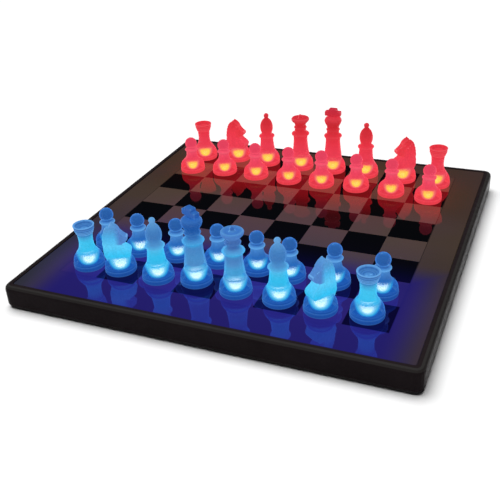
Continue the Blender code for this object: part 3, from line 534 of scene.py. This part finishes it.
# side view of the horse, forward and up in millimetres, anticlockwise from the back of the foot
HORSE_FRONT = [
    (-8.6, 12.6), (8.4, 12.6), (10.2, 15.4), (11.3, 18.0), (11.8, 20.6), (10.8, 23.0), (8.4, 24.9),
    (6.2, 26.7), (4.7, 28.4), (4.4, 29.7), (6.0, 29.9), (7.4, 30.4), (8.3, 31.2), (7.6, 31.9),
    (9.2, 32.2), (9.9, 33.6), (9.6, 35.2), (8.2, 36.6), (6.0, 38.3), (4.2, 39.8), (3.0, 41.4),
    (2.7, 42.8), (1.9, 44.4), (0.4, 46.0), (-1.4, 47.2), (-2.6, 47.8), (-3.7, 48.8), (-4.8, 47.2),
]
MANE_LOCKS = 7                  # scallops along the mane, from the ear to the withers
MANE_FROM, MANE_TO = (-6.4, 45.4), (-13.0, 27.0)
HORSE_BACK = [(-12.9, 24.0), (-12.7, 20.8), (-11.8, 17.2), (-10.4, 14.6)]


def mane_line():
    """Outline of the mane: locks that stand out from an arc over the neck."""
    points = []
    for i in range(MANE_LOCKS * 3 + 1):
        share = i / (MANE_LOCKS * 3)
        bend = math.sin(share * math.pi / 2)
        x = MANE_FROM[0] + (MANE_TO[0] - MANE_FROM[0]) * bend
        z = MANE_FROM[1] + (MANE_TO[1] - MANE_FROM[1]) * (1 - math.cos(share * math.pi / 2))
        lock = (0.0, 0.55, 0.35)[i % 3]
        points.append((x - lock, z + lock * 0.6))
    return points


def knight_mesh():
    """A pressed-glass horse's head and chest on the turned foot. The muzzle points along +X."""
    outline = HORSE_FRONT + mane_line() + HORSE_BACK
    bm = bmesh.new()
    face = bm.faces.new([bm.verts.new((x * MM, 0.0, z * MM)) for x, z in outline])
    grown = bmesh.ops.extrude_face_region(bm, geom=[face])
    far = [v for v in grown["geom"] if isinstance(v, bmesh.types.BMVert)]
    near = [v for v in bm.verts if v not in far]
    for verts, side in ((near, -1), (far, 1)):
        for v in verts:
            v.co.y = side * horse_half_thickness(v.co.x / MM, v.co.z / MM) * MM
    bmesh.ops.recalc_face_normals(bm, faces=bm.faces)
    for side in (-1, 1):
        add_ball(bm, 4.4, (1.2, side * 1.5, 36.8), (1.0, 0.75, 1.15))      # cheek
        add_ball(bm, 1.2, (1.2, side * 4.3, 41.6), (1.25, 0.7, 0.9))       # eye
        add_ball(bm, 0.8, (8.3, side * 2.5, 34.4), (1.2, 0.8, 0.8))        # nostril
        add_ball(bm, 2.2, (7.4, side * 1.5, 33.6), (1.1, 0.9, 0.9))        # lips
        add_ball(bm, 1.5, (-3.5, side * 2.5, 46.2), (0.9, 0.75, 2.0))      # ear
        add_ball(bm, 6.6, (4.8, side * 1.7, 20.0), (1.0, 0.80, 0.85))      # breast
        add_ball(bm, 6.2, (-5.2, side * 1.9, 24.0), (1.0, 0.72, 1.7))      # shoulder
    horse = remeshed(bm, 0.40, 5)
    foot = finished_mesh(turned(softened(OUTLINES["knight"])), "knight_foot")
    return united(foot, horse, "knight")


def horse_half_thickness(x, z):
    """Half the horse's thickness: broad at the chest, slimmer at the head, thin along the mane."""
    rise = min(1.0, max(0.0, (z - 14.0) / 30.0))
    half = 6.6 - 2.7 * rise
    if x < -5.5 and z > 26.0:
        half *= 0.62
    if x > 5.0 and z > 28.0:
        half *= 0.78
    return half


# ---- chess men: how they glow ------------------------------------------------------------------
# (height in millimetres, display colour of the painted glow) from the foot upwards
BLUE_FOOT = [(0, (14, 62, 142)), (5, (18, 72, 158)), (8, (20, 80, 170)), (11, (28, 96, 184))]
RED_FOOT = [(0, (226, 54, 62)), (5, (232, 60, 76)), (11, (228, 60, 84))]
GLOW_STOPS = {
    ("blue", "pawn"): BLUE_FOOT + [(13, (36, 100, 178)), (17, (36, 96, 174)), (20, (52, 110, 182)),
                                   (24, (64, 124, 192)), (26, (92, 160, 222)), (28, (46, 96, 170)),
                                   (33, (44, 104, 190)), (40, (48, 108, 192))],
    ("blue", "rook"): BLUE_FOOT + [(14.6, (78, 150, 206)), (16.4, (48, 172, 228)),
                                   (20, (58, 198, 242)), (28, (66, 196, 240)), (33, (66, 150, 206)),
                                   # the rook's cup is lighter on its rings and darker between them:
                                   # painted highlight and painted shade
                                   (34.5, (46, 112, 180)), (35.3, (96, 162, 218)),
                                   (36.1, (34, 90, 162)), (37.0, (88, 150, 210)),
                                   (37.8, (32, 84, 158)), (38.6, (82, 142, 204)),
                                   (39.4, (34, 86, 160)), (40.2, (70, 126, 192)),
                                   (41.3, (34, 84, 158)), (42.6, (86, 144, 206))],
    ("blue", "bishop"): BLUE_FOOT + [(14.6, (72, 186, 232)), (17, (56, 186, 236)),
                                     (25, (48, 193, 240)), (32, (80, 192, 238)),
                                     (36, (78, 146, 206)), (44, (58, 116, 184)),
                                     (50, (66, 126, 192)), (56, (90, 150, 206))],
    ("blue", "queen"): BLUE_FOOT + [(14.6, (92, 164, 218)), (18, (78, 150, 208)),
                                    (25, (64, 166, 220)), (30, (82, 142, 204)),
                                    (36, (70, 126, 190)),
                                    (38.6, (66, 148, 208)), (40.6, (36, 184, 236)),
                                    (42.6, (88, 158, 218)), (46, (56, 98, 170)),
                                    (56, (70, 112, 178)), (59.3, (52, 102, 182)),
                                    (60.6, (70, 124, 188)), (62, (40, 86, 164))],
    ("blue", "king"): BLUE_FOOT + [(14.6, (92, 184, 230)), (17, (78, 160, 216)),
                                   (20, (78, 142, 202)), (30, (72, 144, 204)), (36, (72, 132, 196)),
                                   (38.8, (66, 144, 206)), (41, (44, 172, 232)),
                                   (43.2, (74, 150, 214)), (46, (50, 110, 184)),
                                   (54, (28, 84, 162)),
                                   (64, (26, 80, 164)), (75, (30, 78, 158))],
    ("blue", "knight"): BLUE_FOOT + [(14.6, (74, 178, 226)), (18, (44, 190, 238)),
                                     (28, (88, 198, 242)), (36, (70, 172, 226)),
                                     (42, (78, 150, 206)), (49, (86, 140, 200))],
    ("red", "pawn"): RED_FOOT + [(14, (230, 66, 86)), (20, (234, 66, 92)), (26, (234, 78, 104)),
                                 (33, (228, 64, 92)), (40, (222, 66, 92))],
    ("red", "tall"): RED_FOOT + [(14.6, (230, 72, 92)), (18, (228, 60, 78)), (24, (232, 60, 80)),
                                 (34, (230, 54, 70)), (44, (218, 46, 58)), (56, (196, 38, 46)),
                                 (62, (208, 42, 54)), (75, (186, 38, 56))],
}
KNIGHT_HEAD = {"blue": srgb(76, 124, 192), "red": srgb(226, 54, 66)}


def stop_colour(stops, height):
    """Colour between the stops either side of a height, as linear light."""
    heights = [h for h, _ in stops]
    colours = np.array([srgb(*c) for _, c in stops])
    return [float(np.interp(height, heights, colours[:, i])) for i in range(3)]


def store(mesh, glows, clears):
    """Keep the 'glow' colour and 'clear' share of every point of a mesh."""
    glow = mesh.attributes.new("glow", "FLOAT_COLOR", "POINT")
    glow.data.foreach_set("color", [c for colour in glows for c in colour])
    clear = mesh.attributes.new("clear", "FLOAT", "POINT")
    clear.data.foreach_set("value", clears)


CAP_RADIUS = {"pawn": 11.2, "tall": 11.8}
CLEAR_FROM = {"blue": 7.2, "red": 4.8}      # height in the foot where its glass starts to clear
FOOT_CLEAR = 0.90
NECK = {"pawn": 14.4, "tall": FOOT_TOP}     # where the foot's clear glass ends

# the glass above the foot clears by this share, and shows hearts inside: glowing shells that, on
# the blue men, are dimmer and paint shade as a darker middle. Each heart has its share of the
# outline's radius, its brightness against the skin and how much it lets through.
CLEAR_ABOVE = {"pawn": 0.55, "rook": 0.35, "bishop": 0.40, "queen": 0.45, "king": 0.45}
HEART_SPAN = {"pawn": (28.6, 40.2), "rook": (16.8, 34.4), "bishop": (16.8, 57.0),
              "queen": (16.8, 54.0), "king": (16.8, 62.0)}       # from and up to, in millimetres
HEARTS = {
    "blue": {"pawn": [(0.84, 0.52, 0.5), (0.62, 0.30, 0.0)],
             "tall": [(0.80, 0.88, 0.5), (0.55, 0.78, 0.0)]},
    "red": {"pawn": [(0.84, 1.0, 0.5), (0.62, 0.96, 0.0)],
            "tall": [(0.80, 1.0, 0.5), (0.55, 0.92, 0.0)]},
}


def build_of(kind):
    """The key for sizes that only differ between pawns and the tall men."""
    return "pawn" if kind == "pawn" else "tall"


def glow_stops(side, kind):
    return GLOW_STOPS.get((side, kind)) or GLOW_STOPS[(side, "tall")]


def skin_paint(mesh, side, kind):
    """Glow and clearness of a man's outer skin."""
    stops = glow_stops(side, kind)
    low, neck = CLEAR_FROM[side], NECK[build_of(kind)]
    above = CLEAR_ABOVE.get(kind, 0.0)
    heart_from, heart_to = HEART_SPAN.get(kind, (18.0, 60.0))
    heights = (low, low + 2.6, neck - 2.6, neck - 0.6, neck + 0.8, heart_from, heart_from + 1.6,
               heart_to - 1.0, heart_to + 0.6)
    shares = (0.0, FOOT_CLEAR, FOOT_CLEAR, 0.60, 0.0, 0.0, above, above, 0.0)

    def colour_at(place):
        colour = stop_colour(stops, place.z)
        if kind == "knight" and place.z > 29.0 and place.x > -2.0:
            away = min(1.0, (place.x + 2.0) / 5.0)
            colour = [c * (1 - away) + h * away for c, h in zip(colour, KNIGHT_HEAD[side])]
        return (*colour, 1.0)

    places = [v.co / MM for v in mesh.vertices]
    store(mesh, [colour_at(p) for p in places],
          [float(np.interp(p.z, heights, shares)) for p in places])


# nested bowls of light in the foot, from the outer one to the core. Each has its share of the
# outer bowl's size, its colour, its brightness and how much it lets through.
LAMP_LAYERS = {
    "blue": [(1.00, (34, 136, 218), 1.0, 0.74), (0.88, (66, 188, 238), 1.0, 0.66),
             (0.78, (120, 220, 248), 1.0, 0.55), (0.66, (190, 240, 252), 1.5, 0.42),
             (0.52, (250, 254, 255), 4.5, 0.30), (0.36, (255, 255, 255), 9.0, 0.0)],
    "red": [(1.00, (238, 76, 92), 1.0, 0.80), (0.86, (246, 118, 112), 1.0, 0.76),
            (0.70, (252, 170, 96), 1.2, 0.60), (0.56, (255, 214, 10), 1.9, 0.35),
            (0.44, (255, 232, 20), 2.4, 0.30), (0.24, (255, 250, 170), 3.4, 0.0)],
}
# what shows through the foot below the bowls: a glowing disc, painted as a faintly lit floor over
# the cap
LAMP_FLOOR = {"blue": (24, 84, 174), "red": (228, 56, 70)}
LAMP_FLOOR_Z = 0.9
# the outer bowl: radius, top and bottom in millimetres, and the height that the core sits at
LAMP_BOWLS = {
    "blue": {"tall": (10.6, 14.4, 1.6, 6.6), "pawn": (9.2, 13.4, 1.6, 6.6)},
    "red": {"tall": (10.0, 12.2, 0.9, 4.8), "pawn": (8.8, 11.6, 0.9, 4.8)},
}


def bowl_outline(radius, top, bottom, count=8):
    """A round-bottomed bowl with a slightly domed lid, from the lid's middle down."""
    sweep = [math.pi / 2 * i / count for i in range(count)]
    wall = [(radius * math.cos(a) ** 0.7, top - (top - bottom) * math.sin(a)) for a in sweep]
    return [(0.0, top + 0.9), (radius * 0.65, top + 0.6)] + wall + [(0.0, bottom)]


def heart_outline(kind, share):
    """The inner part of a man's outline above its foot, shrunk to a share of its radius."""
    low, high = HEART_SPAN[kind]
    middle = (low + high) / 2
    shrunk = [(r * share, middle + (z - middle) * (share if kind == "pawn" else 0.95))
              for r, z in OUTLINES[kind] if low < z < high]
    return [(0.0, shrunk[0][1])] + shrunk + [(0.0, shrunk[-1][1])]


def lamp_mesh(side, kind):
    """A man's bowls of light, hearts and lit floor, as closed shells in one mesh."""
    whole = bmesh.new()
    glows, clears = [], []

    def add_shell(outline, sides, colour_at, clear):
        shell = finished_mesh(turned(outline, sides), "shell")
        whole.from_mesh(shell)
        glows.extend((*colour_at(v.co.z / MM), 1.0) for v in shell.vertices)
        clears.extend([clear] * len(shell.vertices))
        bpy.data.meshes.remove(shell)

    radius, top, bottom, core = LAMP_BOWLS[side][build_of(kind)]
    for share, colour, gain, clear in LAMP_LAYERS[side]:
        lit = srgb(*colour, gain)
        outline = bowl_outline(radius * share, core + (top - core) * share,
                               core - (core - bottom) * share)
        add_shell(outline, LAMP_SIDES, lambda z, lit=lit: lit, clear)
    stops = glow_stops(side, kind)
    for share, dim, clear in HEARTS[side][build_of(kind)] if kind in HEART_SPAN else []:
        add_shell(heart_outline(kind, share), LAMP_SIDES,
                  lambda z, dim=dim: [dim * c for c in stop_colour(stops, z)], clear)
    rim = CAP_RADIUS[build_of(kind)] + 0.9
    floor_low = LAMP_FLOOR_Z - 0.3
    floor = [(0.0, LAMP_FLOOR_Z), (rim, LAMP_FLOOR_Z), (rim, floor_low), (0.0, floor_low)]
    add_shell(floor, CAP_SIDES, lambda z: srgb(*LAMP_FLOOR[side]), 0.0)
    mesh = finished_mesh(whole, f"{side}_{kind}_lamp")
    store(mesh, glows, clears)
    return mesh


def cap_mesh(radius):
    """The black cap under a foot, with a raised rim round a recess."""
    outline = [(0.0, CAP_H), (radius - 0.4, CAP_H), (radius, 0.3), (radius, 0.12),
               (radius - 0.3, 0.02), (radius - 1.6, 0.02), (radius - 1.9, 0.2), (0.0, 0.2)]
    return finished_mesh(turned(outline, CAP_SIDES, close_bottom=False), "foot_cap", 30.0)


# ---- chess men: assembly -----------------------------------------------------------------------
CONTACT_REACH = 4.5             # from the foot's middle, in millimetres
CONTACT_OUTLINE = [(0.0, 0.24), (2.0, 0.24), (2.2, 0.12), (2.0, 0.04), (0.0, 0.03)]
LAMP_RADIUS, LAMP_HEIGHT = 3.0 * MM, 22.0 * MM
LIT_BY_LAMPS = bpy.data.collections.new("lit_by_lamps")
LIT_BY_LAMPS.objects.link(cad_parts["glass_top"])
SPILL = {"blue": ((0.10, 0.06, 1.0), 0.16), "red": ((1.0, 0.03, 0.04), 0.02)}


def build_men():
    """Replace each CAD man with its finished skin, lamp, cap and contacts, on its own body."""
    shapes = {}
    for kind in OUTLINES:
        if kind == "king":
            shapes[kind] = king_mesh()
        elif kind == "knight":
            shapes[kind] = knight_mesh()
        else:
            shapes[kind] = finished_mesh(turned(softened(OUTLINES[kind])), kind)
    ready = {}
    for node in sorted(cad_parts):
        side, _, rest = node.partition("_")
        kind = rest.split("_")[0]
        if side not in SKINS or kind not in OUTLINES:
            continue
        if (side, kind) not in ready:
            skin = shapes[kind].copy()
            skin_paint(skin, side, kind)
            cap = cap_mesh(CAP_RADIUS[build_of(kind)])
            ready[(side, kind)] = (skin, lamp_mesh(side, kind), cap)
        build_man(node, side, kind, *ready[(side, kind)])


def build_man(node, side, kind, skin, lamp_shells, cap):
    """One man: its skin stands for the CAD node, and everything rides on its body."""
    low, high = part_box(node)
    at = Vector(((low[0] + high[0]) / 2, (low[1] + high[1]) / 2, low[2]))
    turn = 0.0
    if kind == "knight":
        turn = math.radians(KNIGHT_FACING[side][node.endswith("_right")])
    if kind == "king":
        turn = math.radians(KING_FACING[side])
    body = piece(node + "_glass", skin.copy(), SKINS[side], at, turn)
    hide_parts(node)
    riders = [body, piece(node + "_lamp", lamp_shells.copy(), GLOWS[side], at)]
    riders.append(piece(node + "_cap", cap.copy(), CAP, at))
    for i, dx in enumerate((-CONTACT_REACH, CONTACT_REACH), start=1):
        dot = turned(CONTACT_OUTLINE, CONTACT_SIDES, close_bottom=False)
        riders.append(piece(f"{node}_contact_{i}", finished_mesh(dot, "foot_contact"), CONTACT,
                            at + Vector((dx * MM, 0, 0))))
    for rider in riders[:2]:
        rider.visible_shadow = False
    colour, power = SPILL[side]
    lamp = bpy.data.lights.new(node + "_spill", "POINT")
    lamp.color = colour
    lamp.energy = power
    lamp.shadow_soft_size = LAMP_RADIUS
    light = bpy.data.objects.new(node + "_spill", lamp)
    light.location = at + Vector((0, 0, LAMP_HEIGHT))
    light.visible_camera = False
    light.visible_glossy = False
    light.light_linking.receiver_collection = LIT_BY_LAMPS
    bpy.context.scene.collection.objects.link(light)
    for rider in riders + [light]:
        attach(rider, node)


# ---- the case ----------------------------------------------------------------------------------
def build_case():
    """Give every CAD node of the board its material."""
    looks = {
        "frame": CASE, "base_pan": CASE_UNDER, "battery_door": CASE_UNDER,
        "glass_top": GLASS_BOARD,
        "glass_gasket": plastic("black_foam", srgb(14, 14, 14), 0.95, grain=500.0, bump=0.6),
        "coil_panel": plastic("coil_panel_green", srgb(20, 66, 40), 0.4),
        "driver_board": plastic("driver_board_green", srgb(24, 84, 46), 0.4),
        "battery_tray": plastic("tray_black", srgb(34, 33, 33), 0.5),
        "power_switch_body": plastic("switch_grey", srgb(48, 48, 50), 0.45),
        "power_switch_knob": plastic("switch_knob_grey", srgb(60, 60, 62), 0.4),
        "dc_jack": plastic("jack_black", srgb(26, 26, 26), 0.4),
        "bus_bar": metal("copper_rail", (0.72, 0.36, 0.20), 0.3),
        "battery_contact": metal("nickel_contact", (0.66, 0.64, 0.60), 0.25),
        "battery_cell": metal("cell_jacket", (0.30, 0.32, 0.36), 0.35),
        "case_screw": metal("screw_steel", (0.30, 0.30, 0.31), 0.35),
        "foot_": plastic("foot_rubber", srgb(28, 28, 28), 0.9, grain=400.0, bump=0.4),
        "battery_lead": plastic("lead_red", srgb(150, 20, 20), 0.5),
        "jack_lead": plastic("lead_black", srgb(26, 26, 26), 0.5),
    }
    for node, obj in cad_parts.items():
        match = [look for prefix, look in looks.items() if node.startswith(prefix)]
        if match:
            obj.data.materials.clear()
            obj.data.materials.append(match[0])


# ---- stage -------------------------------------------------------------------------------------
def build_floor():
    """A plain pale floor, clear from below, so that the underside can be seen."""
    floor_bm = bmesh.new()
    bmesh.ops.create_grid(floor_bm, x_segments=1, y_segments=1, size=6.0)
    look = Look("pale_floor", (0.86, 0.86, 0.86), 0.9, **{"Specular IOR Level": 0.1})
    look.vary("Base Color", look.mix(look.noise(6.0, 2.0), (0.84, 0.84, 0.84), (0.88, 0.88, 0.88)))
    look.let_through(look.backfacing())
    floor = piece("floor", finished_mesh(floor_bm, "floor"), look.material)
    floor.location.z = -FLOOR_GAP


def sun(name, strength, angle_deg, tilt_deg):
    """A soft sun that shines down, tilted about X and Y."""
    data = bpy.data.lights.new(name, "SUN")
    data.energy = strength
    data.angle = math.radians(angle_deg)
    obj = bpy.data.objects.new(name, data)
    obj.rotation_euler = [math.radians(tilt) for tilt in (*tilt_deg, 0.0)]
    bpy.context.scene.collection.objects.link(obj)
    return obj


def build_lights():
    """A soft overhead sun, and a soft light on the underside alone for views from below."""
    overhead = sun("soft_sun", SUN_STRENGTH, 55.0, (-8.0, -14.0))
    overhead.visible_glossy = False     # no glare of the sun itself in the glass
    fill = sun("under_fill", UNDER_FILL_STRENGTH, 50.0, (160.0, 0.0))
    underside = bpy.data.collections.new("underside")
    for node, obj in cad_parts.items():
        if node.startswith(("base_pan", "battery_", "foot_", "case_screw")):
            underside.objects.link(obj)
    fill.light_linking.receiver_collection = underside
    fill.light_linking.blocker_collection = underside       # the floor doesn't stop it


def build_world():
    """A dim room to light the objects, seen as a plain white wall past the floor's edge."""
    world = bpy.data.worlds.new("studio")
    world.use_nodes = True
    tree = world.node_tree
    room = tree.nodes["Background"]
    room.inputs["Color"].default_value = (0.9, 0.95, 1.0, 1.0)
    room.inputs["Strength"].default_value = ROOM_STRENGTH
    wall = tree.nodes.new("ShaderNodeBackground")
    wall.inputs["Color"].default_value = (1.0, 1.0, 1.0, 1.0)
    blend = tree.nodes.new("ShaderNodeMixShader")
    seen = tree.nodes.new("ShaderNodeLightPath").outputs["Is Camera Ray"]
    for source, socket in ((seen, blend.inputs[0]), (room.outputs[0], blend.inputs[1]),
                           (wall.outputs[0], blend.inputs[2]),
                           (blend.outputs[0], tree.nodes["World Output"].inputs["Surface"])):
        tree.links.new(source, socket)
    scene = bpy.context.scene
    scene.world = world
    scene.view_settings.view_transform = "Standard"
    scene.cycles.transparent_max_bounces = 24       # the skins and bowls of light are nested


def build_camera():
    """The photograph's viewpoint, looking at the board with a slight roll."""
    az, el = math.radians(CAMERA_AZIMUTH), math.radians(CAMERA_ELEVATION)
    back = Vector((math.sin(az) * math.cos(el), -math.cos(az) * math.cos(el), math.sin(el)))
    right = Vector((math.cos(az), math.sin(az), 0.0))
    up = back.cross(right)
    roll = math.radians(CAMERA_ROLL)
    rolled_right = right * math.cos(roll) + up * math.sin(roll)
    rolled_up = up * math.cos(roll) - right * math.sin(roll)
    turn = Matrix((rolled_right, rolled_up, back)).transposed().to_4x4()
    data = bpy.data.cameras.new("camera")
    data.lens = CAMERA_LENS
    data.sensor_width = 36.0
    data.clip_start = 0.01
    camera = bpy.data.objects.new("camera", data)
    camera.matrix_world = Matrix.Translation(CAMERA_TARGET + back * CAMERA_DISTANCE) @ turn
    bpy.context.scene.collection.objects.link(camera)
    bpy.context.scene.camera = camera


build_floor()
build_lights()
build_world()
build_camera()
build_case()
build_men()
